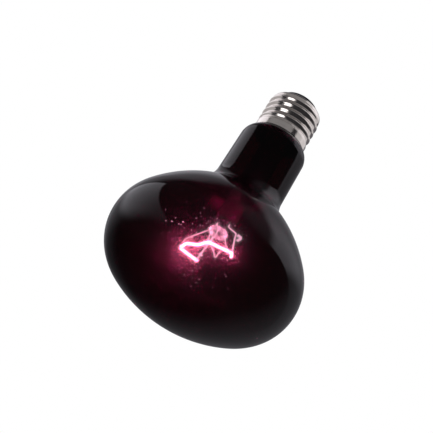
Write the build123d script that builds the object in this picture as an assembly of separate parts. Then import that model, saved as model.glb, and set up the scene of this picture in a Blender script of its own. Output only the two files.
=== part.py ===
from build123d import *
from math import acos, atan2, cos, degrees, pi, radians, sin, sqrt
import os

# Millimetres. The lamp hangs with its base up: +Z points out of the screw cap and the origin is the tip of
# the centre contact. A depth is a distance below that tip, along the axis.

# Whole lamp
overall_length = 130.0
bulb_diameter = 95.0

# Glass envelope: arcs from the neck to the crown of the face
glass_wall = 1.0
belly_radius = 26.0
face_radius = 66.0
back_radius = 67.0
back_angle = 35.0  # degrees behind the widest ring where the back arc takes over
throat_radius = 13.0
neck_diameter = 33.0
neck_flare_angle = 1.0  # degrees
neck_round = 7.5
seal_diameter = 21.6
seal_depth = 17.0

# Screw cap, rolled from sheet
cap_height = 25.0
sheet = 0.35
thread_major = 26.3
thread_minor = 24.2
thread_pitch = 3.629
thread_fade = 1.8
thread_phase = 293.0  # degrees, direction of the crest at depth zero
sections_per_turn = 14
thread_depth = 7.0  # where the turned-in top becomes the thread
lip_diameter = 20.6
lip_depth = 4.2
skirt_diameter = 26.2
skirt_height = 3.4
skirt_step = 0.6
rim_gap = 0.2
seat_gap = 0.05

# Contact end
insulator_diameter = 23.0
insulator_tip_diameter = 10.8
insulator_bottom = 7.6
contact_diameter = 9.6
contact_thickness = 0.6
contact_round = 0.25
eyelet_diameter = 2.2
eyelet_bore = 1.5
eyelet_length = 1.9
solder_diameter = 4.4
solder_height = 0.7

# Cement between neck and cap
cement_top = 17.6
cement_bottom = 24.0
cement_gap = 0.1

# Stem: flared tube, pinched flat at its inner end
stem_diameter = 12.0
stem_wall = 1.1
flare_radius = 3.0
pinch_start = 60.0
pinch_flat = 66.0
pinch_end = 76.0
pinch_width = 12.0
pinch_thickness = 5.6
pinch_angle = -45.0  # degrees, direction of the pinch's wide side
mount_shift = -1.2  # the mount stands a little off the axis, along X

# Exhaust tube and arbor rod with its button
exhaust_diameter = 3.8
exhaust_bore = 2.4
exhaust_tip = 11.0
exhaust_seat = 3.0
exhaust_port = 1.6
arbor_diameter = 3.8
arbor_seat = 6.0
button_diameter = 9.6
button_thickness = 3.4
button_round = 1.5
button_gap = 3.8  # from the pinch to the button

# Wires
lead_diameter = 0.7
outer_lead_diameter = 0.5
support_diameter = 0.5
lead_spread = 7.2
lead_end_depth = 0.35
side_wire_depth = 23.3
side_wire_lift = 0.6
side_wire_reach = 0.3
side_hole_gap = 0.1
side_solder_diameter = 3.4
side_solder_height = 0.75
wire_bend = 1.2
hook_gap = 0.05
hook_turn = 225.0  # degrees of the open loop around the coil
support_root = 1.6
tab_width = 1.3
tab_thickness = 0.3
bead_diameter = 1.5
bead_place = 0.72  # share of the left lead's last run

# Bends of the mount's wires, as x, y and depth
right_bend_place = (5.7, -8.2, 80.9)
left_bend_place = (-2.2, 8.0, 82.1)
tab_fold_place = (8.8, -9.3, 82.0)
tab_end_place = (7.8, -8.4, 84.0)
arch_top_place = (-9.6, 9.4, 84.2)
arch_side_place = (-12.9, 11.4, 88.0)
dip_start_place = (-2.0, -9.55, 92.6)
dip_side_place = (1.1, -10.2, 94.9)
dip_bottom_place = (3.4, -9.4, 97.4)

# Coil, as the solid of its outer shape. Each corner is x, y and depth, with the radius of its bend.
coil_diameter = 1.2
coil_corners = [
    (9.25, -12.9, 94.3),
    (8.5, -12.9, 92.4),
    (-2.7, -10.4, 92.6),
    (-6.4, -2.4, 93.2),
    (-10.9, 3.3, 92.8),
    (-12.5, 11.8, 92.8),
    (-2.4, 14.4, 92.8),
]
coil_bends = [0.7, 1.5, 6.0, 2.5, 1.8]


def spot(x, y, depth):
    return Vector(x, y, -depth)


def around(angle, radius, depth):
    return spot(radius * cos(radians(angle)), radius * sin(radians(angle)), depth)


# Round profiles are drawn in the XZ plane as radius and depth, then turned about the axis.
def arc(center, radius, start, end):
    def at(angle):
        return spot(center[0] + radius * cos(radians(angle)), 0, center[1] - radius * sin(radians(angle)))

    return ThreePointArc(at(start), at((start + end) / 2), at(end))


def run(*corners):
    return Polyline(*[spot(radius, 0, depth) for radius, depth in corners])


def turned(*lines):
    return revolve(make_face([edge for line in lines for edge in line.edges()]), axis=Axis.Z)


def drawn(path, diameter):
    return sweep(Plane(origin=path @ 0, z_dir=path % 0) * Circle(diameter / 2), path=path)


# Glass envelope. Angles are measured from the outward radius, positive towards the base.
bulb_radius = bulb_diameter / 2
skirt_radius = skirt_diameter / 2
rim_radius = skirt_radius - sheet - rim_gap
seal_radius = seal_diameter / 2
face_rise = sqrt((face_radius - belly_radius) ** 2 - (bulb_radius - belly_radius) ** 2)
belly_center = (bulb_radius - belly_radius, overall_length - face_radius + face_rise)
face_center = (0.0, belly_center[1] - face_rise)
face_angle = -degrees(atan2(face_rise, belly_center[0]))
back_step = back_radius - belly_radius
back_center = (
    belly_center[0] - back_step * cos(radians(back_angle)),
    belly_center[1] + back_step * sin(radians(back_angle)),
)
round_center_radius = neck_diameter / 2 - neck_round
round_center = (
    round_center_radius,
    cap_height + sqrt(neck_round**2 - (rim_radius - round_center_radius) ** 2),
)
flare = radians(neck_flare_angle)
throat_reach = back_radius + throat_radius
back_offset = (back_center[0] - round_center[0]) * cos(flare) - (back_center[1] - round_center[1]) * sin(flare)
throat_angle = neck_flare_angle + degrees(acos((neck_round + throat_radius - back_offset) / throat_reach))
throat_center = (
    back_center[0] + throat_reach * cos(radians(throat_angle)),
    back_center[1] - throat_reach * sin(radians(throat_angle)),
)


def glass_outline(inset):
    round_radius = neck_round - inset
    seal_angle = degrees(acos((seal_radius - inset - round_center[0]) / round_radius))
    shoulder = arc(round_center, round_radius, seal_angle, neck_flare_angle)
    throat = arc(throat_center, throat_radius + inset, 180 + neck_flare_angle, 180 + throat_angle)
    back = arc(back_center, back_radius - inset, throat_angle, back_angle)
    belly = arc(belly_center, belly_radius - inset, back_angle, face_angle)
    face = arc(face_center, face_radius - inset, face_angle, -90)
    seal = Line(spot(seal_radius - inset, 0, seal_depth), shoulder @ 0)
    neck = Line(shoulder @ 1, throat @ 0)
    return [seal, shoulder, neck, throat, back, belly, face]


def glass_bulb():
    outer = glass_outline(0)
    inner = glass_outline(glass_wall)
    crown = Line(outer[-1] @ 1, inner[-1] @ 1)
    end = Line(outer[0] @ 0, inner[0] @ 0)
    return turned(*outer, crown, *inner, end)


# Screw shell: the thread's section is a circle whose centre winds about the axis, so crests and roots
# are rolled into the sheet inside and out.
thread_radius = (thread_major + thread_minor) / 4
thread_wave = (thread_major - thread_minor) / 4
thread_end = cap_height - skirt_height - skirt_step
lip_radius = lip_diameter / 2
lip_drop = thread_depth - lip_depth
shoulder_radius = ((thread_radius - lip_radius) ** 2 + lip_drop**2) / (2 * (thread_radius - lip_radius))
shoulder_center = (thread_radius - shoulder_radius, thread_depth)
lip_angle = degrees(atan2(lip_drop, lip_radius - shoulder_center[0]))


def thread_core(radius):
    count = round((thread_end - thread_depth) / thread_pitch * sections_per_turn)
    sections = []
    for i in range(count + 1):
        depth = thread_depth + (thread_end - thread_depth) * i / count
        near = min(depth - thread_depth, thread_end - depth) / thread_fade
        share = near * near * (3 - 2 * near) if near < 1 else 1.0
        center = around(thread_phase - 360 * depth / thread_pitch, thread_wave * share, depth)
        sections.append(Pos(center) * Circle(radius))
    return loft(sections)


def screw_shell():
    thread = thread_core(thread_radius) - thread_core(thread_radius - sheet)
    top_outer = arc(shoulder_center, shoulder_radius, lip_angle, 0)
    top_inner = arc(shoulder_center, shoulder_radius - sheet, lip_angle, 0)
    lip = Line(top_outer @ 0, top_inner @ 0)
    top = turned(top_outer, Line(top_outer @ 1, top_inner @ 1), top_inner, lip)
    skirt = turned(
        run(
            (thread_radius, thread_end),
            (skirt_radius, thread_end + skirt_step),
            (skirt_radius, cap_height),
            (skirt_radius - sheet, cap_height),
            (skirt_radius - sheet, thread_end + skirt_step),
            (thread_radius - sheet, thread_end),
            (thread_radius, thread_end),
        )
    )
    hole_radius = outer_lead_diameter / 2 + side_hole_gap
    hole = Cylinder(hole_radius, skirt_diameter, align=(Align.CENTER, Align.CENTER, Align.MIN))
    return top + thread + skirt - Plane(spot(0, 0, side_wire_depth), z_dir=around(side_angle, 1, 0)) * hole


# Black glass that closes the cap's top, moulded up to the turned-in lip
contact_top = solder_height
insulator_top = contact_top + contact_thickness
insulator_radius = insulator_diameter / 2
seat_radius = shoulder_radius - sheet - seat_gap
lip_opening = shoulder_center[0] + (shoulder_radius - sheet) * cos(radians(lip_angle)) - seat_gap


def insulator():
    seat_start = degrees(acos((lip_opening - shoulder_center[0]) / seat_radius))
    seat_end = degrees(acos((insulator_radius - shoulder_center[0]) / seat_radius))
    seat = arc(shoulder_center, seat_radius, seat_start, seat_end)
    bore = eyelet_diameter / 2 + seat_gap
    outside = run((bore, insulator_top), (insulator_tip_diameter / 2, insulator_top), (lip_opening, lip_depth))
    neck = Line(outside @ 1, seat @ 0)
    side = Line(seat @ 1, spot(insulator_radius, 0, insulator_bottom))
    inside = run((insulator_radius, insulator_bottom), (bore, insulator_bottom), (bore, insulator_top))
    return turned(outside, neck, seat, side, inside)


def center_contact():
    plate_radius = contact_diameter / 2
    bore = eyelet_bore / 2
    rim = arc((plate_radius - contact_round, contact_top + contact_round), contact_round, 90, 0)
    top = Line(spot(bore, 0, contact_top), rim @ 0)
    below = run(
        (plate_radius, contact_top + contact_round),
        (plate_radius, insulator_top),
        (eyelet_diameter / 2, insulator_top),
        (eyelet_diameter / 2, insulator_top + eyelet_length),
        (bore, insulator_top + eyelet_length),
        (bore, contact_top),
    )
    return turned(top, rim, below)


def contact_solder(lead):
    ball = ((solder_diameter / 2) ** 2 + solder_height**2) / (2 * solder_height)
    edge_angle = degrees(acos(solder_diameter / 2 / ball))
    dome = arc((0.0, ball), ball, 90, edge_angle)
    plug = run(
        (solder_diameter / 2, contact_top),
        (eyelet_bore / 2, contact_top),
        (eyelet_bore / 2, insulator_top),
        (0, insulator_top),
        (0, 0),
    )
    return turned(dome, plug) - lead


def cement_ring(lead):
    thread_side = thread_minor / 2 - sheet - cement_gap
    skirt_side = skirt_radius - sheet - cement_gap
    ring = turned(
        run(
            (seal_radius, cement_top),
            (thread_side, cement_top),
            (thread_side, thread_end + skirt_step),
            (skirt_side, thread_end + skirt_step),
            (skirt_side, cement_bottom),
            (seal_radius, cement_bottom),
            (seal_radius, cement_top),
        )
    )
    return ring - lead


# Stem. The pinch, the tubes and the wires in it stand on the mount's own axis.
stem_radius = stem_diameter / 2
mount_axis = Pos(mount_shift, 0, 0)
flare_center = (stem_radius + flare_radius, seal_depth + flare_radius)
button_top = pinch_end + button_gap
button_bottom = button_top + button_thickness


def on_pinch(along, depth):
    return around(pinch_angle, along, depth) + Vector(mount_shift, 0, 0)


def rod(diameter, top, bottom):
    shape = Cylinder(diameter / 2, bottom - top, align=(Align.CENTER, Align.CENTER, Align.MAX))
    return Pos(0, 0, -top) * shape


def exhaust_tube():
    tip_radius = exhaust_diameter / 2
    wall = (exhaust_diameter - exhaust_bore) / 2
    outer = arc((0.0, exhaust_tip + tip_radius), tip_radius, 90, 0)
    inner = arc((0.0, exhaust_tip + tip_radius), tip_radius - wall, 90, 0)
    bottom = pinch_start + exhaust_seat
    wall_line = run(
        (tip_radius, exhaust_tip + tip_radius),
        (tip_radius, bottom),
        (tip_radius - wall, bottom),
        (tip_radius - wall, exhaust_tip + tip_radius),
    )
    return mount_axis * turned(outer, wall_line, inner, Line(outer @ 0, inner @ 0))


def arbor_rod(supports):
    radius = arbor_diameter / 2
    edge = button_diameter / 2 - button_round
    upper = arc((edge, button_top + button_round), button_round, 90, 0)
    lower = arc((edge, button_bottom - button_round), button_round, 0, -90)
    top = pinch_end - arbor_seat
    stalk = run((0, top), (radius, top), (radius, button_top), (edge, button_top))
    closing = run((edge, button_bottom), (0, button_bottom), (0, top))
    solid = mount_axis * turned(stalk, upper, Line(upper @ 1, lower @ 0), lower, closing)
    for support in supports:
        solid -= support
    return solid


def stem_tube(wires):
    outer = arc(flare_center, flare_radius, 180, 90)
    inner = arc(flare_center, flare_radius + stem_wall, 180, 90)
    flange = run(
        (flare_center[0], seal_depth),
        (seal_radius, seal_depth),
        (seal_radius, seal_depth - stem_wall),
        (flare_center[0], seal_depth - stem_wall),
    )
    wall = run(
        (stem_radius, flare_center[1]),
        (stem_radius, pinch_start),
        (stem_radius - stem_wall, pinch_start),
        (stem_radius - stem_wall, flare_center[1]),
    )
    tube = turned(outer, flange, inner, wall)
    flat = mount_axis * Rot(0, 0, pinch_angle) * SlotOverall(pinch_width, pinch_thickness)
    narrowing = loft([Pos(0, 0, -pinch_start) * Circle(stem_radius), Pos(0, 0, -pinch_flat) * flat])
    pinch = extrude(Pos(0, 0, -pinch_flat) * flat, pinch_end - pinch_flat, dir=(0, 0, -1))
    solid = tube + narrowing + pinch
    tube_end = pinch_start + exhaust_seat
    solid -= mount_axis * rod(exhaust_diameter, pinch_start, tube_end)
    solid -= mount_axis * rod(exhaust_bore, tube_end, tube_end + exhaust_bore)
    port = Cylinder(exhaust_port / 2, stem_diameter, align=(Align.CENTER, Align.CENTER, Align.MIN))
    port_spot = spot(mount_shift, 0, tube_end + exhaust_bore / 2)
    solid -= Plane(port_spot, z_dir=around(pinch_angle - 90, 1, 0)) * port
    solid -= mount_axis * rod(arbor_diameter, pinch_end - arbor_seat, pinch_end)
    for wire in wires:
        solid -= wire
    return solid


# Wires sealed in the pinch, and the outer leads from there to the two contacts
right_seal = on_pinch(lead_spread / 2, pinch_start)
left_seal = on_pinch(-lead_spread / 2, pinch_start)
side_angle = degrees(atan2(left_seal.Y, left_seal.X))


def seal_wire(seal):
    return Pos(seal.X, seal.Y, 0) * rod(lead_diameter, pinch_start, pinch_end)


def outer_lead_center():
    above_tip = exhaust_tip - exhaust_diameter / 2
    path = FilletPolyline(
        right_seal,
        spot(right_seal.X, right_seal.Y, exhaust_tip),
        spot(0, 0, above_tip),
        spot(0, 0, lead_end_depth),
        radius=wire_bend / 2,
    )
    return drawn(path, outer_lead_diameter)


def outer_lead_side():
    seal_reach = sqrt(left_seal.X**2 + left_seal.Y**2)
    lift_depth = seal_depth - stem_wall - outer_lead_diameter / 2 - side_wire_lift
    channel = seal_radius + outer_lead_diameter / 2 + cement_gap
    path = FilletPolyline(
        left_seal,
        around(side_angle, seal_reach, lift_depth),
        around(side_angle, channel, lift_depth),
        around(side_angle, channel, side_wire_depth),
        around(side_angle, skirt_radius + side_wire_reach, side_wire_depth),
        radius=wire_bend / 2,
    )
    return drawn(path, outer_lead_diameter)


def side_solder(lead):
    ball = ((side_solder_diameter / 2) ** 2 + side_solder_height**2) / (2 * side_solder_height)
    blob = Pos(around(side_angle, skirt_radius + side_solder_height - ball, side_wire_depth)) * Sphere(ball)
    return blob - rod(skirt_diameter, 0, cap_height + side_solder_diameter) - lead


# Coil and the wires that hold it: each wire ends in an open loop around the coil
coil_path = FilletPolyline(*[spot(*corner) for corner in coil_corners], radius=coil_bends)
coil_length = coil_path.length


def hooked(points, bends, share, diameter):
    center = coil_path.position_at(share * coil_length, PositionMode.LENGTH)
    tangent = coil_path.tangent_at(share * coil_length, PositionMode.LENGTH)
    away = points[-1] - center
    toward = away.normalized()
    facing = (tangent - toward * tangent.dot(toward)).normalized()
    across = facing.cross(toward)
    radius = coil_diameter / 2 / tangent.dot(facing) + diameter / 2 + hook_gap
    start = degrees(acos(radius / away.length))

    def on_loop(angle):
        return center + (toward * cos(radians(angle)) + across * sin(radians(angle))) * radius

    corners = [*points, on_loop(start)]
    leg = FilletPolyline(*corners, radius=bends) if bends else Line(*corners)
    loop = ThreePointArc(on_loop(start), on_loop(start + hook_turn / 2), on_loop(start + hook_turn))
    return drawn(Wire([*leg.edges(), *loop.edges()]), diameter)


def filament():
    return drawn(coil_path, coil_diameter)


right_bend = spot(*right_bend_place)
left_bend = spot(*left_bend_place)
left_clamp = 0.98


# The right lead ends beside the coil's turned-down tail
def lead_right():
    exit_point = spot(right_seal.X, right_seal.Y, pinch_end)
    clear_point = spot(right_seal.X, right_seal.Y, pinch_end + 2 * lead_diameter)
    tail, corner, near = [spot(*place) for place in coil_corners[:3]]
    down = (tail - corner).normalized()
    beside = down.cross(near - corner).normalized() * ((coil_diameter + lead_diameter) / 2 + hook_gap)
    path = FilletPolyline(
        exit_point,
        clear_point,
        right_bend,
        corner + beside - down * wire_bend,
        tail + beside,
        radius=wire_bend / 2,
    )
    return drawn(path, lead_diameter)


def lead_left():
    exit_point = spot(left_seal.X, left_seal.Y, pinch_end)
    clear_point = spot(left_seal.X, left_seal.Y, pinch_end + 2 * lead_diameter)
    return hooked([exit_point, clear_point, left_bend], [wire_bend / 2, wire_bend], left_clamp, lead_diameter)


def lead_tab():
    fold = spot(*tab_fold_place)
    away = (fold - right_bend).normalized()
    start = right_bend + away * ((lead_diameter + tab_width) / 2 + hook_gap)
    path = FilletPolyline(start, fold, spot(*tab_end_place), radius=2 * tab_thickness)
    strip = Plane(origin=path @ 0, z_dir=path % 0) * Rectangle(tab_thickness, tab_width)
    return sweep(strip, path=path)


def clamp_bead(lead):
    end = coil_path.position_at(left_clamp * coil_length, PositionMode.LENGTH)
    return Pos(left_bend + (end - left_bend) * bead_place) * Sphere(bead_diameter / 2) - lead


def button_spot(angle, radius, depth):
    return around(angle, radius, button_top + depth) + Vector(mount_shift, 0, 0)


def out_of_button(angle, depth):
    root = button_spot(angle, button_diameter / 2 - support_root, depth)
    return [root, button_spot(angle, button_diameter / 2 + support_diameter, depth)]


def support_arch():
    start = out_of_button(140, button_round - support_diameter)
    points = [*start, spot(*arch_top_place), spot(*arch_side_place)]
    return hooked(points, [wire_bend, 2 * wire_bend, 2 * wire_bend], 0.745, support_diameter)


def support_middle():
    points = out_of_button(122, button_thickness - button_round + support_diameter)
    return hooked(points, [support_diameter], 0.34, support_diameter)


# Passes inside the coil's near corner, dips below it and comes up to hold the near span
def support_bent():
    root = button_spot(-100, button_diameter / 2 - support_root, button_thickness - support_root)
    points = [root, spot(*dip_start_place), spot(*dip_side_place), spot(*dip_bottom_place)]
    return hooked(points, [wire_bend, 2 * wire_bend, wire_bend / 3], 0.14, support_diameter)


def support_right():
    root = button_spot(-20, button_diameter / 2 - support_root, button_thickness - support_root)
    return hooked([root], [], 0.08, support_diameter)


# Every piece in its own file
center_lead = outer_lead_center()
side_lead = outer_lead_side()
seal_wires = [seal_wire(right_seal), seal_wire(left_seal)]
far_lead = lead_left()
supports = [support_arch(), support_middle(), support_bent(), support_right()]
pieces = {
    "glass_bulb": glass_bulb(),
    "screw_shell": screw_shell(),
    "insulator": insulator(),
    "center_contact": center_contact(),
    "contact_solder": contact_solder(center_lead),
    "side_solder": side_solder(side_lead),
    "cement_ring": cement_ring(side_lead),
    "stem_tube": stem_tube(seal_wires),
    "exhaust_tube": exhaust_tube(),
    "arbor_rod": arbor_rod(supports),
    "seal_wire_right": seal_wires[0],
    "seal_wire_left": seal_wires[1],
    "outer_lead_center": center_lead,
    "outer_lead_side": side_lead,
    "lead_right": lead_right(),
    "lead_left": far_lead,
    "lead_tab": lead_tab(),
    "clamp_bead": clamp_bead(far_lead),
    "support_arch": supports[0],
    "support_middle": supports[1],
    "support_bent": supports[2],
    "support_right": supports[3],
    "filament": filament(),
}
os.makedirs("parts", exist_ok=True)
for name, shape in pieces.items():
    export_step(shape, f"parts/{name}.step")
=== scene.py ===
import math
import bpy
from mathutils import Matrix, Vector


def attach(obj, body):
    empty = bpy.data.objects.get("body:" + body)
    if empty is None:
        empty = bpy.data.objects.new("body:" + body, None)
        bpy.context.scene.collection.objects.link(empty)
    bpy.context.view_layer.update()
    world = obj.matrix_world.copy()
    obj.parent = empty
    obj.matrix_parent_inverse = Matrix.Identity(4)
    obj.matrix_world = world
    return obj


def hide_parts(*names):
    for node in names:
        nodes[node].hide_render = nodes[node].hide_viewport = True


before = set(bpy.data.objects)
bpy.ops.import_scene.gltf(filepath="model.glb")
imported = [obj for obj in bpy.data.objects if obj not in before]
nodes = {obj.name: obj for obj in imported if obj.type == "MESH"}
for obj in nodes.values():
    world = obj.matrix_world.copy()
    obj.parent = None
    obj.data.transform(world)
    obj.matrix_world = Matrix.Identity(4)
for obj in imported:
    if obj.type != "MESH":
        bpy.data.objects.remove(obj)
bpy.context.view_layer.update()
scene = bpy.context.scene
scene.view_settings.view_transform = "Standard"
samePoint = 1e-7  # metres between two points that count as one
print("stage: frame loaded", len(nodes))


class Signal:
    def __init__(self, tree, socket=None):
        self.tree = tree
        self.socket = socket

    def node(self, kind, inputs=None, output=0, **settings):
        made = self.tree.nodes.new(kind)
        for key, value in settings.items():
            setattr(made, key, value)
        for key, value in (inputs or {}).items():
            if isinstance(value, Signal):
                self.tree.links.new(value.socket, made.inputs[key])
            else:
                made.inputs[key].default_value = value
        return Signal(self.tree, made.outputs[output]) if len(made.outputs) else None

    def sibling(self, output):
        return Signal(self.tree, self.socket.node.outputs[output])

    def math(self, operation, first, second=0.0):
        return self.node("ShaderNodeMath", {0: first, 1: second}, operation=operation)

    def __add__(self, other):
        return self.math("ADD", self, other)

    def __radd__(self, other):
        return self.math("ADD", other, self)

    def __sub__(self, other):
        return self.math("SUBTRACT", self, other)

    def __rsub__(self, other):
        return self.math("SUBTRACT", other, self)

    def __mul__(self, other):
        return self.math("MULTIPLY", self, other)

    def __rmul__(self, other):
        return self.math("MULTIPLY", other, self)

    def axis(self, index):
        return self.node("ShaderNodeSeparateXYZ", {0: self}, output=index)

    def noise(self, scale, detail, rough=0.5):
        values = {"Vector": self, "Scale": scale, "Detail": detail, "Roughness": rough}
        return self.node("ShaderNodeTexNoise", values)

    def ramp(self, low, high):
        values = {0: self, 1: low, 2: high}
        return self.node("ShaderNodeMapRange", values, interpolation_type="SMOOTHSTEP")

    def blend(self, first, second):
        return self.node("ShaderNodeMix", {0: self, 6: first, 7: second}, output=2, data_type="RGBA")

    def principled(self, values):
        return self.node("ShaderNodeBsdfPrincipled", values, output="BSDF")

    def mixed(self, share, first, second):
        return self.node("ShaderNodeMixShader", {0: share, 1: first, 2: second})

    def surface(self, shader):
        self.node("ShaderNodeOutputMaterial", {"Surface": shader})


def newMaterial(name):
    made = bpy.data.materials.new(name)
    made.use_nodes = True
    made.node_tree.nodes.clear()
    return made, Signal(made.node_tree).node("ShaderNodeTexCoord", output="Object")


patchEdge = (0.3, 0.7)  # from one colour to the other, for every mottled finish


def mottled(name, look):
    made, spot = newMaterial(name)
    tone = spot.noise(look["grain"], look["detail"])
    spot.surface(spot.principled({
        "Base Color": tone.ramp(*patchEdge).blend(look["dark"], look["light"]),
        "Roughness": look["roughness"] + tone * look["uneven"] if look["uneven"] else look["roughness"],
        **look["rest"],
    }))
    return made


def meshPiece(name, points, faces, materials, picks=None):
    mesh = bpy.data.meshes.new(name)
    mesh.from_pydata(points, [], faces)
    for material in materials:
        mesh.materials.append(material)
    if picks:
        mesh.polygons.foreach_set("material_index", picks)
    mesh.polygons.foreach_set("use_smooth", [True] * len(faces))
    mesh.update()
    made = bpy.data.objects.new(name, mesh)
    scene.collection.objects.link(made)
    return made


# A profile is a list of radius and depth below the cap's tip
def lathe(profile, turns, center=(0.0, 0.0)):
    points = []
    rows = []
    for radius, depth in profile:
        if radius < samePoint:
            rows.append([len(points)] * turns)
            points.append((*center, -depth))
            continue
        rows.append(list(range(len(points), len(points) + turns)))
        for i in range(turns):
            angle = 2 * math.pi * i / turns
            x = center[0] + radius * math.cos(angle)
            y = center[1] + radius * math.sin(angle)
            points.append((x, y, -depth))
    faces = []
    for above, below in zip(rows, rows[1:]):
        for i in range(turns):
            j = (i + 1) % turns
            ring = [above[i], below[i], below[j], above[j]]
            faces.append(tuple(dict.fromkeys(ring)))
    return points, faces


def arc(center, radius, start, end, count):
    angles = [math.radians(start + (end - start) * i / count) for i in range(count + 1)]
    return [(center[0] + radius * math.cos(a), center[1] - radius * math.sin(a)) for a in angles]


def line(start, end, count):
    return [tuple(a + (b - a) * i / count for a, b in zip(start, end)) for i in range(count + 1)]


def joined(*runs):
    made = []
    for points in runs:
        for point in points:
            if not made or math.dist(point, made[-1]) > samePoint:
                made.append(point)
    return made


def place(obj, *replaced, slot=None):
    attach(obj, "root")
    if replaced:
        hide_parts(*replaced)


# Dark glass of the envelope. Its haze is nearly white close round the coil and redder further out
darkGlass = {
    "tint": (0.055, 0.0062, 0.0165, 1.0), "ior": 1.5, "innerGloss": (0.05, 0.05, 0.05, 1.0),
    "hazeShare": 0.34, "closeTint": (0.055, 0.022, 0.026, 1.0), "closeSpread": 0.18,
    "wideShare": 0.245, "wideTint": (0.055, 0.0015, 0.013, 1.0), "wideSpread": 0.38,
    "widestShare": 0.05, "widestSpread": 0.65,
}
darkOuter, spot = newMaterial("darkGlassOuter")
spot.surface(spot.principled({
    "Base Color": darkGlass["tint"], "Roughness": 0.0, "IOR": darkGlass["ior"], "Transmission Weight": 1.0,
}))
darkInner, spot = newMaterial("darkGlassInner")


def hazePart(spot, tint, spread):
    return spot.principled({
        "Base Color": tint, "Roughness": spread, "IOR": darkGlass["ior"], "Transmission Weight": 1.0,
        "Specular Tint": darkGlass["innerGloss"],
    })


throughTint = [math.sqrt(share) for share in darkGlass["tint"][:3]]  # a Principled surface takes the root too
seeThrough = spot.node("ShaderNodeBsdfRefraction", {
    "Color": (*throughTint, 1.0), "Roughness": 0.0, "IOR": darkGlass["ior"],
})
closeHaze = hazePart(spot, darkGlass["closeTint"], darkGlass["closeSpread"])
wideHaze = hazePart(spot, darkGlass["wideTint"], darkGlass["wideSpread"])
widestHaze = hazePart(spot, darkGlass["wideTint"], darkGlass["widestSpread"])
farHaze = spot.mixed(darkGlass["widestShare"], wideHaze, widestHaze)
haze = spot.mixed(darkGlass["wideShare"], closeHaze, farHaze)
wall = spot.mixed(darkGlass["hazeShare"], seeThrough, haze)

# Painted reflection: a sheen film inside the throat, placed and tinted to stand in for the coil's reflection
# there, and lit by the coil
throatSheen = {
    "color": (0.9, 0.02, 0.5, 1.0), "roughness": 0.8, "share": 0.28, "lean": 0.5, "bend": 0.2,
    "low": (-0.062, -0.0575), "high": (-0.057, -0.053),
    "left": (-0.015, -0.006), "right": (0.007, 0.014), "back": (0.002, 0.01),
}
sheenFilm = spot.principled({
    "Base Color": throatSheen["color"], "Roughness": throatSheen["roughness"], "Specular IOR Level": 0.0,
})
side, back, height = [spot.axis(i) for i in range(3)]
height -= throatSheen["lean"] * side + throatSheen["bend"] * side.math("ABSOLUTE", side)
# Painted reflection: where the sheen film lies, set by position in the throat
sheenBand = height.ramp(*throatSheen["low"]) * (1.0 - height.ramp(*throatSheen["high"]))
sheenBand *= side.ramp(*throatSheen["left"]) * (1.0 - side.ramp(*throatSheen["right"])) * back.ramp(*throatSheen["back"])
cavitySide = 1.0 - spot.node("ShaderNodeNewGeometry", output="Backfacing")  # the hollow's side of the wall
spot.surface(spot.mixed(sheenBand * cavitySide * throatSheen["share"], wall, sheenFilm))

# Envelope: arcs that run into one another, with their centres worked out from its sizes
glass = {
    "length": 0.130, "radius": 0.0475, "wall": 0.001, "belly": 0.026, "face": 0.066, "back": 0.067,
    "backAngle": 35.0, "throat": 0.013, "neck": 0.0165, "flare": 1.0, "neckRound": 0.0075,
    "seal": 0.0108, "sealDepth": 0.017, "capHeight": 0.025, "rim": 0.01255, "turns": 224,
    "sealSteps": 4, "shoulderSteps": 16, "neckSteps": 6, "throatSteps": 44, "backSteps": 24,
    "bellySteps": 36, "faceSteps": 28,
}


def glassCenters(g):
    rise = math.sqrt((g["face"] - g["belly"]) ** 2 - (g["radius"] - g["belly"]) ** 2)
    belly = (g["radius"] - g["belly"], g["length"] - g["face"] + rise)
    face = (0.0, belly[1] - rise)
    faceAngle = -math.degrees(math.atan2(rise, belly[0]))
    step = g["back"] - g["belly"]
    turn = math.radians(g["backAngle"])
    back = (belly[0] - step * math.cos(turn), belly[1] + step * math.sin(turn))
    across = g["neck"] - g["neckRound"]
    neck = (across, g["capHeight"] + math.sqrt(g["neckRound"] ** 2 - (g["rim"] - across) ** 2))
    flare = math.radians(g["flare"])
    reach = g["back"] + g["throat"]
    offset = (back[0] - neck[0]) * math.cos(flare) - (back[1] - neck[1]) * math.sin(flare)
    throatAngle = g["flare"] + math.degrees(math.acos((g["neckRound"] + g["throat"] - offset) / reach))
    turn = math.radians(throatAngle)
    throat = (back[0] + reach * math.cos(turn), back[1] - reach * math.sin(turn))
    return belly, face, faceAngle, back, neck, throat, throatAngle


def glassProfile(g, inset):
    belly, face, faceAngle, back, neck, throat, throatAngle = glassCenters(g)
    sealRadius = g["seal"] - inset
    neckRadius = g["neckRound"] - inset
    sealAngle = math.degrees(math.acos((sealRadius - neck[0]) / neckRadius))
    shoulder = arc(neck, neckRadius, sealAngle, g["flare"], g["shoulderSteps"])
    throatEnds = (180 + g["flare"], 180 + throatAngle)
    throatArc = arc(throat, g["throat"] + inset, *throatEnds, g["throatSteps"])
    seal = line((sealRadius, g["sealDepth"]), shoulder[0], g["sealSteps"])
    neckLine = line(shoulder[-1], throatArc[0], g["neckSteps"])
    backArc = arc(back, g["back"] - inset, throatAngle, g["backAngle"], g["backSteps"])
    bellyArc = arc(belly, g["belly"] - inset, g["backAngle"], faceAngle, g["bellySteps"])
    faceArc = arc(face, g["face"] - inset, faceAngle, -90, g["faceSteps"])
    faceArc[-1] = (0.0, faceArc[-1][1])
    return joined(seal, shoulder, neckLine, throatArc, backArc, bellyArc, faceArc)


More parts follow.
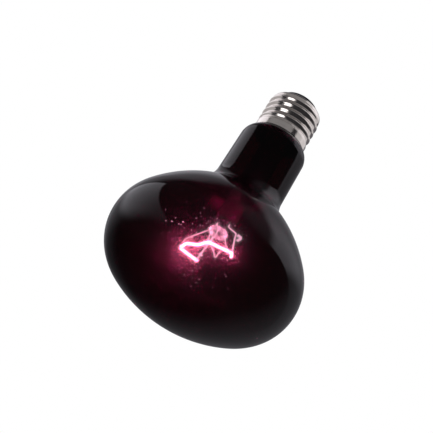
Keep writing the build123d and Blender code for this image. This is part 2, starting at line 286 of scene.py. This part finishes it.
outer, outerFaces = lathe(glassProfile(glass, 0.0), glass["turns"])
inner, innerFaces = lathe(glassProfile(glass, glass["wall"]), glass["turns"])
innerFaces = [tuple(reversed([i + len(outer) for i in face])) for face in innerFaces]
endFaces = []
for i in range(glass["turns"]):
    j = (i + 1) % glass["turns"]
    endFaces.append((i, j, j + len(outer), i + len(outer)))
picks = [0] * len(outerFaces) + [1] * len(innerFaces) + [0] * len(endFaces)
faces = outerFaces + innerFaces + endFaces
envelope = meshPiece("envelope", outer + inner, faces, [darkOuter, darkInner], picks)
place(envelope, "glass_bulb", slot="dark_glass")
print("stage: envelope", len(envelope.data.polygons))

# Nickel of the cap
plating = {
    "dull": (0.66, 0.60, 0.575, 1.0), "bright": (0.75, 0.69, 0.665, 1.0), "grain": 900.0, "grainDetail": 3.0,
    "wear": 160.0, "wearDetail": 4.0, "wearRough": 0.6, "roughness": 0.1, "uneven": 0.1,
    "bump": 0.12, "bumpDepth": 0.0002,
}
nickel, spot = newMaterial("nickel")
grain = spot.noise(plating["grain"], plating["grainDetail"])
worn = spot.noise(plating["wear"], plating["wearDetail"], plating["wearRough"])
spot.surface(spot.principled({
    "Base Color": worn.ramp(*patchEdge).blend(plating["dull"], plating["bright"]),
    "Metallic": 1.0, "Roughness": plating["roughness"] + worn * plating["uneven"],
    "Normal": spot.node("ShaderNodeBump", {
        "Height": grain, "Strength": plating["bump"], "Distance": plating["bumpDepth"],
    }, output="Normal"),
}))

# Screw shell, rolled from sheet. Its thread is a circle whose centre goes round the axis with the depth
shell = {
    "sheet": 0.00035, "major": 0.01315, "minor": 0.0121, "pitch": 0.003629, "fade": 0.0018, "phase": 293.0,
    "start": 0.007, "lip": 0.0103, "lipDepth": 0.0042, "skirt": 0.0131, "skirtHeight": 0.0034,
    "step": 0.0006, "height": glass["capHeight"], "turns": 192, "lipSteps": 16, "threadSteps": 96,
    "stepRows": (0.12, 0.5, 0.88), "stepFoot": 1.12, "skirtRows": (0.1, 0.4, 0.7, 0.94, 1.0),
}


def shellRows(s, inset):
    middle = (s["major"] + s["minor"]) / 2
    wave = (s["major"] - s["minor"]) / 2
    end = s["height"] - s["skirtHeight"] - s["step"]
    drop = s["start"] - s["lipDepth"]
    bend = ((middle - s["lip"]) ** 2 + drop**2) / (2 * (middle - s["lip"]))
    center = (middle - bend, s["start"])
    lipAngle = math.degrees(math.atan2(drop, s["lip"] - center[0]))
    rows = [(r, d, 0.0) for r, d in arc(center, bend - inset, lipAngle, 0, s["lipSteps"])]
    radius = middle - inset
    for i in range(1, s["threadSteps"] + 1):
        depth = s["start"] + (end - s["start"]) * i / s["threadSteps"]
        near = min(depth - s["start"], end - depth) / s["fade"]
        share = near * near * (3 - 2 * near) if near < 1 else 1.0  # the thread runs out softly
        rows.append((radius, depth, wave * share))
    skirt = s["skirt"] - inset
    rows += [(radius + (skirt - radius) * t, end + s["step"] * t, 0.0) for t in s["stepRows"]]
    rows += [(skirt, end + s["step"] * s["stepFoot"], 0.0)]
    rows += [(skirt, end + s["step"] + s["skirtHeight"] * t, 0.0) for t in s["skirtRows"]]
    return rows


def shellMesh(s):
    rows = shellRows(s, 0.0)
    rows = rows + [rows[-1]] + list(reversed(shellRows(s, s["sheet"])))
    turns = s["turns"]
    points = []
    for radius, depth, wave in rows:
        phase = math.radians(s["phase"] - 360 * depth / s["pitch"])
        for i in range(turns):
            angle = 2 * math.pi * i / turns
            across = wave * math.sin(angle - phase)
            reach = wave * math.cos(angle - phase) + math.sqrt(radius**2 - across**2)
            points.append((reach * math.cos(angle), reach * math.sin(angle), -depth))
    faces = []
    for row in range(len(rows)):
        low = (row + 1) % len(rows)
        if math.dist(rows[row][:2], rows[low][:2]) < samePoint:
            continue
        for i in range(turns):
            j = (i + 1) % turns
            faces.append((row * turns + i, low * turns + i, low * turns + j, row * turns + j))
    return points, faces


points, faces = shellMesh(shell)
screwShell = meshPiece("screwShell", points, faces, [nickel])
place(screwShell, "screw_shell", slot="nickel")
print("stage: cap", len(faces))

# Black glass that closes the cap, domed between lip and contact
blackGlass = mottled("blackGlass", {
    "grain": 300.0, "detail": 3.0, "dark": (0.010, 0.010, 0.012, 1.0), "light": (0.018, 0.018, 0.020, 1.0),
    "roughness": 0.4, "uneven": 0.1, "rest": {"Specular IOR Level": 0.2},
})
tip = {
    "top": 0.0013, "edge": 0.0054, "lip": 0.0099, "lipDepth": shell["lipDepth"], "seat": 0.0109,
    "seatDrop": 0.0004, "dome": 0.0011, "domePower": 0.8, "domeSteps": 14, "radius": 0.0115,
    "shoulder": 0.0062, "bottom": 0.0076, "bore": 0.0014, "turns": 128,
}


def tipProfile(t):
    run, drop = t["lip"] - t["edge"], t["lipDepth"] - t["top"]
    reach = math.hypot(run, drop)
    dome = []
    for i in range(t["domeSteps"] + 1):
        share = i / t["domeSteps"]
        lift = t["dome"] * math.sin(math.pi * share) ** t["domePower"]
        across = t["edge"] + run * share + lift * drop / reach
        dome.append((across, t["top"] + drop * share - lift * run / reach))
    seat = (t["seat"], t["lipDepth"] + t["seatDrop"])
    inside = [seat, (t["radius"], t["shoulder"]), (t["radius"], t["bottom"])]
    return [(t["bore"], t["top"])] + dome + inside + [(t["bore"], t["bottom"]), (t["bore"], t["top"])]


points, faces = lathe(tipProfile(tip), tip["turns"])
blackTip = meshPiece("blackTip", points, faces, [blackGlass])
place(blackTip, "insulator", slot="black_glass")
print("stage: tip", len(faces))


# Geometry Nodes: the inputs and the end that every group has, and its result as a plain mesh
def newGroup(name, result, inputs):
    group = bpy.data.node_groups.new(name, "GeometryNodeTree")
    for label, kind in inputs.items():
        group.interface.new_socket(label, in_out="INPUT", socket_type=kind)
    group.interface.new_socket(result, in_out="OUTPUT", socket_type="NodeSocketGeometry")
    start = Signal(group)
    return start, [start.node("NodeGroupInput", output=label) for label in inputs]


def closeGroup(start, body, material):
    whole = start.node("GeometryNodeRealizeInstances", {"Geometry": body})
    done = start.node("GeometryNodeSetMaterial", {"Geometry": whole, "Material": material})
    start.node("NodeGroupOutput", {0: done})
    return start.tree


def baked(name, source, group, values):
    modifier = source.modifiers.new("build", "NODES")
    modifier.node_group = group
    sockets = {item.name: item.identifier for item in group.interface.items_tree if item.in_out == "INPUT"}
    for key, value in values.items():
        modifier[sockets[key]] = value
    bpy.context.view_layer.update()
    evaluated = source.evaluated_get(bpy.context.evaluated_depsgraph_get())
    mesh = bpy.data.meshes.new_from_object(evaluated)
    mesh.name = name
    source.modifiers.remove(modifier)
    bpy.data.objects.remove(source)
    made = bpy.data.objects.new(name, mesh)
    scene.collection.objects.link(made)
    return made


# Coil: a wire wound round a path with rounded corners, which are given as x, y and depth
coil = {
    "corners": [
        (0.00925, -0.0129, 0.0943), (0.0085, -0.0129, 0.0924), (-0.0027, -0.0104, 0.0926),
        (-0.0064, -0.0024, 0.0932), (-0.0109, 0.0033, 0.0928), (-0.0125, 0.0118, 0.0928),
        (-0.0024, 0.0144, 0.0928),
    ],
    "bends": [0.0007, 0.0015, 0.006, 0.0025, 0.0018], "bendSteps": 8,
    "diameter": 0.0012, "wire": 0.00024, "wireSides": 6, "turns": 150, "turnSteps": 14,
    "color": (0.2, 0.2, 0.2, 1.0), "roughness": 0.6, "glow": (1.0, 0.92, 0.88, 1.0), "glowStrength": 1000.0,
}
hot, spot = newMaterial("hotCoil")
spot.surface(spot.principled({
    "Base Color": coil["color"], "Roughness": coil["roughness"],
    "Emission Color": coil["glow"], "Emission Strength": coil["glowStrength"],
}))


def rounded(corners, bends, steps):
    spots = [Vector((x, y, -depth)) for x, y, depth in corners]
    made = [spots[0]]
    for before, corner, after, bend in zip(spots, spots[1:], spots[2:], bends):
        arrive = (before - corner).normalized()
        leave = (after - corner).normalized()
        half = arrive.angle(leave) / 2
        reach = bend / math.tan(half)
        center = corner + (arrive + leave).normalized() * (bend / math.sin(half))
        first = corner + arrive * reach - center
        last = corner + leave * reach - center
        sweep = first.angle(last)
        for i in range(steps + 1):
            t = i / steps
            turned = first * math.sin((1 - t) * sweep) + last * math.sin(t * sweep)
            made.append(center + turned / math.sin(sweep))
    made.append(spots[-1])
    return made


def pathObject(name, spots):
    curve = bpy.data.curves.new(name, "CURVE")
    curve.dimensions = "3D"
    spline = curve.splines.new("POLY")
    spline.points.add(len(spots) - 1)
    for point, where in zip(spline.points, spots):
        point.co = (*where, 1.0)
    made = bpy.data.objects.new(name, curve)
    scene.collection.objects.link(made)
    return made


def windingGroup(c):
    start, (path, turns, radius, wire) = newGroup("coilWinding", "Winding", {
        "Path": "NodeSocketGeometry", "Turns": "NodeSocketFloat", "Radius": "NodeSocketFloat",
        "Wire": "NodeSocketFloat",
    })

    def vectors(operation, inputs):
        return start.node("ShaderNodeVectorMath", inputs, operation=operation)

    fine = start.node("GeometryNodeResampleCurve", {"Curve": path, "Count": c["turns"] * c["turnSteps"]})
    along = start.node("GeometryNodeSplineParameter", output="Factor")
    turn = along * turns * (2 * math.pi)
    normal = start.node("GeometryNodeInputNormal")
    side = vectors("CROSS_PRODUCT", {0: start.node("GeometryNodeInputTangent"), 1: normal})
    first = vectors("SCALE", {0: normal, "Scale": turn.math("COSINE", turn)})
    second = vectors("SCALE", {0: side, "Scale": turn.math("SINE", turn)})
    offset = vectors("SCALE", {0: vectors("ADD", {0: first, 1: second}), "Scale": radius})
    wound = start.node("GeometryNodeSetPosition", {"Geometry": fine, "Offset": offset})
    ring = start.node("GeometryNodeCurvePrimitiveCircle", {"Resolution": c["wireSides"], "Radius": wire})
    body = start.node("GeometryNodeCurveToMesh", {"Curve": wound, "Profile Curve": ring, "Fill Caps": True})
    return closeGroup(start, body, hot)


coilPath = rounded(coil["corners"], coil["bends"], coil["bendSteps"])
winding = baked("winding", pathObject("coilPath", coilPath), windingGroup(coil), {
    "Turns": float(coil["turns"]), "Radius": (coil["diameter"] - coil["wire"]) / 2, "Wire": coil["wire"] / 2,
})
place(winding, "filament", slot="hot_coil")
print("stage: coil", len(winding.data.polygons))

# Arbor rod with its button, of clear glass
arbor = {
    "center": (-0.0012, 0.0), "rod": 0.0019, "top": 0.070, "button": 0.0048, "above": 0.0798, "below": 0.0832,
    "round": 0.0015, "turns": 96, "roundSteps": 10, "rodSteps": 12,
    "lumpStart": 0.0008, "shrink": 0.035,
    "wideLumps": (0.03, 3, 0.6),  # height, number and turn
    "smallLumps": (0.02, 5, 900.0),  # height, number and twist with the depth
}
clearGlass = {"tint": (0.97, 0.97, 0.97, 1.0), "ior": 1.5}
clear, spot = newMaterial("clearGlass")
spot.surface(spot.principled({
    "Base Color": clearGlass["tint"], "Roughness": 0.0, "IOR": clearGlass["ior"], "Transmission Weight": 1.0,
}))

# Glass of the button, with a painted glow: emission that stands in for the coil's light that it catches
buttonLight = {
    "rim": (0.0037, 0.0045), "rimShare": 0.45, "insideShare": 0.54, "roughness": 0.05,
    "grain": 560.0, "detail": 3.0, "rough": 0.6, "patches": (0.36, 0.62),
    "dim": (0.01, 0.012, 0.01, 1.0), "lit": (0.36, 1.0, 0.66, 1.0), "strength": 50.0,
}
lump, spot = newMaterial("buttonGlass")
across, behind = [spot.axis(i) - arbor["center"][i] for i in range(2)]
# Painted glow, brighter at the rim and in random patches inside
rim = (across * across + behind * behind).ramp(*[radius**2 for radius in buttonLight["rim"]])
glowPatches = spot.noise(buttonLight["grain"], buttonLight["detail"], buttonLight["rough"])
glowPatches = glowPatches.ramp(*buttonLight["patches"])
lit = rim * buttonLight["rimShare"] + (1.0 - rim) * glowPatches * buttonLight["insideShare"]
spot.surface(spot.principled({
    "Base Color": clearGlass["tint"], "Roughness": buttonLight["roughness"], "IOR": clearGlass["ior"],
    "Transmission Weight": 1.0, "Emission Color": lit.blend(buttonLight["dim"], buttonLight["lit"]),
    "Emission Strength": buttonLight["strength"],
}))


def arborProfile(a):
    edge = a["button"] - a["round"]
    upper = arc((edge, a["above"] + a["round"]), a["round"], 90, 0, a["roundSteps"])
    lower = arc((edge, a["below"] - a["round"]), a["round"], 0, -90, a["roundSteps"])
    rod = line((a["rod"], a["top"]), (a["rod"], a["above"]), a["rodSteps"])
    return joined([(0.0, a["top"])], rod, upper, lower, [(0.0, a["below"])])


def lumpy(a, point):
    x, y = [point[i] - a["center"][i] for i in range(2)]
    low = min(max((-point[2] - a["above"]) / a["lumpStart"], 0.0), 1.0)
    spin = math.atan2(y, x)
    wide, wideCount, wideTurn = a["wideLumps"]
    small, smallCount, twist = a["smallLumps"]
    lumps = wide * math.sin(wideCount * spin + wideTurn)
    lumps += small * math.sin(smallCount * spin + twist * point[2])
    share = 1.0 - low * (a["shrink"] + lumps)
    return (a["center"][0] + x * share, a["center"][1] + y * share, point[2])


points, faces = lathe(arborProfile(arbor), arbor["turns"], arbor["center"])
buttonTop = arbor["above"] - samePoint
picks = [1 if min(-points[i][2] for i in face) >= buttonTop else 0 for face in faces]
arborRod = meshPiece("arborRod", [lumpy(arbor, point) for point in points], faces, [clear, lump], picks)
place(arborRod, "arbor_rod", slot="clear_glass")
print("stage: arbor", len(faces))

# Specks of dust on the inner wall, thickest near one spot, with a painted glow: emission that stands in for
# the coil's light that they catch
speck = {
    "inset": 0.00106, "from": 0.07, "wallTurns": 96, "density": 120000.0, "stray": 0.002, "seed": 11,
    "center": (-0.0045, -0.0435, -0.110), "near": 0.006, "far": 0.025,
    "size": 0.0003, "sides": 6, "shortest": 0.45, "growth": 0.9, "slimmest": 0.4,
    "color": (0.3, 0.3, 0.3, 1.0), "roughness": 0.8, "grain": 1900.0, "detail": 1.0, "patches": (0.36, 0.7),
    "dim": (0.03, 0.03, 0.03, 1.0), "lit": (0.3, 1.0, 0.6, 1.0), "strength": 170.0,
}
dustAndGlow, spot = newMaterial("dustAndGlow")
# Painted glow of the specks, in random patches
glowPatches = spot.noise(speck["grain"], speck["detail"]).ramp(*speck["patches"])
spot.surface(spot.principled({
    "Base Color": speck["color"], "Roughness": speck["roughness"],
    "Emission Color": glowPatches.blend(speck["dim"], speck["lit"]), "Emission Strength": speck["strength"],
}))


def speckGroup(s):
    start, (wall, density, size) = newGroup("wallSpecks", "Specks", {
        "Wall": "NodeSocketGeometry", "Density": "NodeSocketFloat", "Size": "NodeSocketFloat",
    })

    def chance(low, high, seed):
        return start.node("FunctionNodeRandomValue", {2: low, 3: high, "Seed": seed}, output=1)

    where = {0: start.node("GeometryNodeInputPosition"), 1: s["center"]}
    apart = start.node("ShaderNodeVectorMath", where, output="Value", operation="DISTANCE")
    thick = s["stray"] + (1 - s["stray"]) * (1.0 - apart.ramp(s["near"], s["far"]))
    points = start.node("GeometryNodeDistributePointsOnFaces", {
        "Mesh": wall, "Density": density * thick, "Seed": s["seed"],
    }, output="Points")
    chip = start.node("GeometryNodeMeshCircle", {"Vertices": s["sides"], "Radius": size}, fill_type="NGON")
    grown = chance(0.0, 1.0, s["seed"] + 2)
    length = s["shortest"] + s["growth"] * grown * grown * grown  # few are large
    slim = chance(s["slimmest"], 1.0, s["seed"])
    stretch = start.node("ShaderNodeCombineXYZ", {"X": length, "Y": length * slim, "Z": 1.0})
    spin = start.node("ShaderNodeCombineXYZ", {"Z": chance(0.0, 2 * math.pi, s["seed"] + 1)})
    facing = start.node("FunctionNodeRotateRotation", {
        "Rotation": points.sibling("Rotation"), "Rotate By": spin,
    }, rotation_space="LOCAL")
    chips = start.node("GeometryNodeInstanceOnPoints", {
        "Points": points, "Instance": chip, "Rotation": facing, "Scale": stretch,
    })
    return closeGroup(start, chips, dustAndGlow)


wallProfile = [point for point in glassProfile(glass, speck["inset"]) if point[1] > speck["from"]]
points, faces = lathe(wallProfile, speck["wallTurns"])
specks = baked("specks", meshPiece("speckWall", points, faces, [dustAndGlow]), speckGroup(speck), {
    "Density": speck["density"], "Size": speck["size"],
})
place(specks)
print("stage: specks", len(specks.data.polygons))

# Glass of the stem, milky where the pinch begins; the magenta of its milky band is a painted glow of the
# coil's light
stem = {
    "tint": (0.24, 0.12, 0.18, 1.0), "milkGlow": (0.95, 0.14, 0.62, 1.0), "roughness": 0.3, "ior": 1.5,
    "through": 0.64, "low": (-0.0765, -0.0705), "high": (-0.068, -0.0625),
}
stemGlass, spot = newMaterial("stemGlass")
height = spot.axis(2)
# Band at the pinch, where the milky glass carries the painted magenta glow
milkyGlowBand = height.ramp(*stem["low"]) * (1.0 - height.ramp(*stem["high"]))
spot.surface(spot.principled({
    "Base Color": milkyGlowBand.blend(stem["tint"], stem["milkGlow"]), "Roughness": stem["roughness"], "IOR": stem["ior"],
    "Transmission Weight": stem["through"],
}))

# Wires, with a painted glow: emission that stands in for the light that they catch from the coil
wireLook = {
    "grain": 700.0, "detail": 3.0, "warmth": (1.0, 0.98, 0.96), "metallic": 0.5, "roughness": 0.35,
    "uneven": 0.2, "glow": (0.24, 1.0, 0.54, 1.0),
}


def wireMetal(name, dark, light, strength):
    shades = [(*[level * share for share in wireLook["warmth"]], 1.0) for level in (dark, light)]
    return mottled(name, {
        **wireLook, "dark": shades[0], "light": shades[1], "rest": {
            "Metallic": wireLook["metallic"], "Emission Color": wireLook["glow"],
            "Emission Strength": strength,
        },
    })


# Glow strengths are painted light from the coil; the cold wires get none
leadMetal = wireMetal("leadWire", dark=0.05, light=0.09, strength=75.0)
tabMetal = wireMetal("leadTab", dark=0.05, light=0.09, strength=70.0)
supportMetal = wireMetal("supportWire", dark=0.04, light=0.08, strength=78.0)
coldMetal = wireMetal("coldWire", dark=0.2, light=0.3, strength=0.0)

# Solder, cement and the other pieces that stay as CAD
solderMetal = mottled("solder", {
    "grain": 600.0, "detail": 3.0, "dark": (0.55, 0.55, 0.56, 1.0), "light": (0.68, 0.68, 0.68, 1.0),
    "roughness": 0.3, "uneven": 0.2, "rest": {"Metallic": 1.0},
})
cementStone = mottled("cement", {
    "grain": 900.0, "detail": 4.0, "dark": (0.36, 0.33, 0.29, 1.0), "light": (0.47, 0.44, 0.39, 1.0),
    "roughness": 0.9, "uneven": 0.0, "rest": {},
})
finishes = {
    "center_contact": nickel, "contact_solder": solderMetal, "side_solder": solderMetal,
    "cement_ring": cementStone, "stem_tube": stemGlass, "exhaust_tube": clear, "seal_wire_right": coldMetal,
    "seal_wire_left": coldMetal, "outer_lead_center": coldMetal, "outer_lead_side": coldMetal,
    "lead_right": leadMetal, "lead_left": leadMetal, "lead_tab": tabMetal, "clamp_bead": leadMetal,
    "support_arch": supportMetal, "support_middle": supportMetal, "support_bent": supportMetal,
    "support_right": supportMetal,
}
for name, material in finishes.items():
    nodes[name].data.materials.clear()
    nodes[name].data.materials.append(material)
print("stage: finishes", len(finishes))

# Pale floor
floor = {
    "depth": 0.9, "radius": 4.0, "sides": 96, "color": (0.82, 0.82, 0.82, 1.0), "roughness": 0.8,
    "lampHeight": 3.0, "lampSize": (6.0, 6.0), "lampPower": 250.0,
}
floorStone, spot = newMaterial("paleFloor")
spot.surface(spot.principled({"Base Color": floor["color"], "Roughness": floor["roughness"]}))
points, faces = lathe([(0.0, floor["depth"]), (floor["radius"], floor["depth"])], floor["sides"])
ground = meshPiece("ground", points, faces, [floorStone])

# Camera at the photograph's view
camera = {
    "eye": (-0.00572, -0.63353, -0.37188), "right": (0.8517, -0.2223, 0.4745),
    "down": (0.524, 0.3614, -0.7713), "lens": 127.93, "sensor": 36.0,
}
lens = bpy.data.cameras.new("photoCamera")
lens.lens = camera["lens"]
lens.sensor_width = camera["sensor"]
viewer = bpy.data.objects.new("photoCamera", lens)
right = Vector(camera["right"]).normalized()
down = Vector(camera["down"]).normalized()
axes = Matrix((right, -down, right.cross(-down))).transposed()
viewer.matrix_world = Matrix.Translation(camera["eye"]) @ axes.to_4x4()
scene.collection.objects.link(viewer)
scene.camera = viewer


def lamp(name, where, target, size, power):
    light = bpy.data.lights.new(name, "AREA")
    light.shape = "RECTANGLE"
    light.size, light.size_y = size
    light.energy = power
    made = bpy.data.objects.new(name, light)
    aim = Vector(target) - Vector(where)
    made.location = where
    made.rotation_mode = "QUATERNION"
    made.rotation_quaternion = aim.to_track_quat("-Z", "Y")
    made.visible_camera = False
    scene.collection.objects.link(made)
    return made


# Directions in the room, as seen from the bulb: degrees across and down the photograph, where zero is
# the camera's side
def towards(across, below):
    turn = math.radians(math.hypot(across, below))
    spin = math.atan2(below, across)
    ahead = right.cross(down)
    return (right * math.cos(spin) + down * math.sin(spin)) * math.sin(turn) - ahead * math.cos(turn)


world = bpy.data.worlds.new("studio")
scene.world = world
world.use_nodes = True
world.node_tree.nodes.clear()
ray = Signal(world.node_tree).node("ShaderNodeTexCoord", output="Generated")


def facing(direction):
    return ray.node("ShaderNodeVectorMath", {0: ray, 1: direction}, output="Value", operation="DOT_PRODUCT")


def glow(center, near, far):
    return facing(towards(*center)).ramp(math.cos(math.radians(far)), math.cos(math.radians(near)))


def edge(first, second, soft, inside):
    normal = towards(*first).cross(towards(*second)).normalized()
    if normal.dot(towards(*inside)) < 0:
        normal = -normal
    return facing(normal).ramp(-soft, soft)


# Tall window at the left: an edge is two directions along it and its softness, and what is bright fades
# between two angles from its direction
window = {
    "inside": (-80, -80), "right": ((-37, -118), (-54, -60), 0.02), "top": ((-40, -114), (-105, -107), 0.02),
    "left": ((-112, -95), (-108, -35), 0.1), "beyondLeft": 0.2, "bottom": ((-130, -30), (-50, -30), 0.2),
    "bright": ((-108, -108), 5, 85), "least": 0.18, "more": 0.57,
}
windowLight = window["beyondLeft"] + (1 - window["beyondLeft"]) * edge(*window["left"], window["inside"])
for name in ("right", "top", "bottom"):
    windowLight *= edge(*window[name], window["inside"])
windowLight *= window["least"] + window["more"] * glow(*window["bright"])

# Pale panel at the right
panel = {
    "inside": (120, -30), "left": ((85, -25), (100, 4), 0.03), "top": ((92, -95), (85, -30), 0.1),
    "bottom": ((100, 8), (150, 40), 0.14), "below": 0.18,
    "bright": ((104, -22), 6, 45), "least": 0.2, "more": 0.42, "reach": ((125, -20), 50, 90),
}
panelLight = panel["below"] + (1 - panel["below"]) * edge(*panel["bottom"], panel["inside"])
for name in ("left", "top"):
    panelLight *= edge(*panel[name], panel["inside"])
panelLight *= panel["least"] + panel["more"] * glow(*panel["bright"])
panelLight *= glow(*panel["reach"])

# Dim room between them, with darker and paler patches: how much, where, and the angles of their fading
dusk = {
    "level": 0.034, "color": (0.93, 0.92, 1.0, 1.0),
    "patches": [
        (-0.024, (-95, 75), 20, 60), (-0.024, (70, -100), 15, 45), (0.1, (84, -60), 4, 28),
        (0.1, (60, 120), 15, 54), (0.05, (-142, -50), 10, 38), (0.22, (-20, -150), 8, 27),
    ],
}
duskLight = dusk["level"]
for share, center, near, far in dusk["patches"]:
    duskLight = duskLight + share * glow(center, near, far)

# White backdrop, for the camera and for what shows straight through the glass
backdrop = {"center": (0, 180), "near": 2, "far": 8, "color": (1.0, 1.0, 1.0, 1.0)}
isCamera = ray.node("ShaderNodeLightPath", output="Is Camera Ray")
isGlossy = ray.node("ShaderNodeLightPath", output="Is Glossy Ray")
isThrough = ray.node("ShaderNodeLightPath", output="Is Transmission Ray")
behindBulb = glow(backdrop["center"], backdrop["near"], backdrop["far"])
white = ray.math("MAXIMUM", isCamera, behindBulb * ray.math("MAXIMUM", isGlossy, isThrough))
sky = ray.node("ShaderNodeBackground", {
    "Color": white.blend(dusk["color"], backdrop["color"]),
    "Strength": white + (1.0 - white) * (duskLight + windowLight + panelLight),
})
ray.node("ShaderNodeOutputWorld", {"Surface": sky})

# One lamp over the bulb and one for the floor alone
fillLight = {"height": 1.6, "size": (1.6, 1.6), "power": 30.0, "target": (0.0, 0.0, -0.07)}
overBulb = (0.0, 0.0, fillLight["height"])
fill = lamp("fill", overBulb, fillLight["target"], fillLight["size"], fillLight["power"])
fill.visible_glossy = False
ground.visible_glossy = False
overFloor = (0.0, 0.0, floor["lampHeight"])
floorLamp = lamp("floorLamp", overFloor, fillLight["target"], floor["lampSize"], floor["lampPower"])
floorOnly = bpy.data.collections.new("floorOnly")
floorOnly.objects.link(ground)
floorLamp.light_linking.receiver_collection = floorOnly

# Soft boxes for the bright metal alone, so that the dark glass keeps its black
capLights = {
    "middle": (0.0, 0.0, -0.015), "distance": 0.45,
    "boxes": {
        "strip": {"aim": (-38, -4), "size": (0.2, 0.24), "power": 0.34},
        "left": {"aim": (-118, -35), "size": (0.8, 1.0), "power": 1.25},
        "right": {"aim": (108, 5), "size": (0.7, 1.0), "power": 1.3},
        "front": {"aim": (24, -78), "size": (0.95, 0.5), "power": 0.36},
    },
}
capPieces = bpy.data.collections.new("capPieces")
for piece in (screwShell, nodes["center_contact"], nodes["contact_solder"], nodes["side_solder"]):
    capPieces.objects.link(piece)
capMiddle = Vector(capLights["middle"])
for name, box in capLights["boxes"].items():
    where = capMiddle + towards(*box["aim"]) * capLights["distance"]
    softBox = lamp(name, where, capMiddle, box["size"], box["power"])
    softBox.light_linking.receiver_collection = capPieces
print("stage: room")
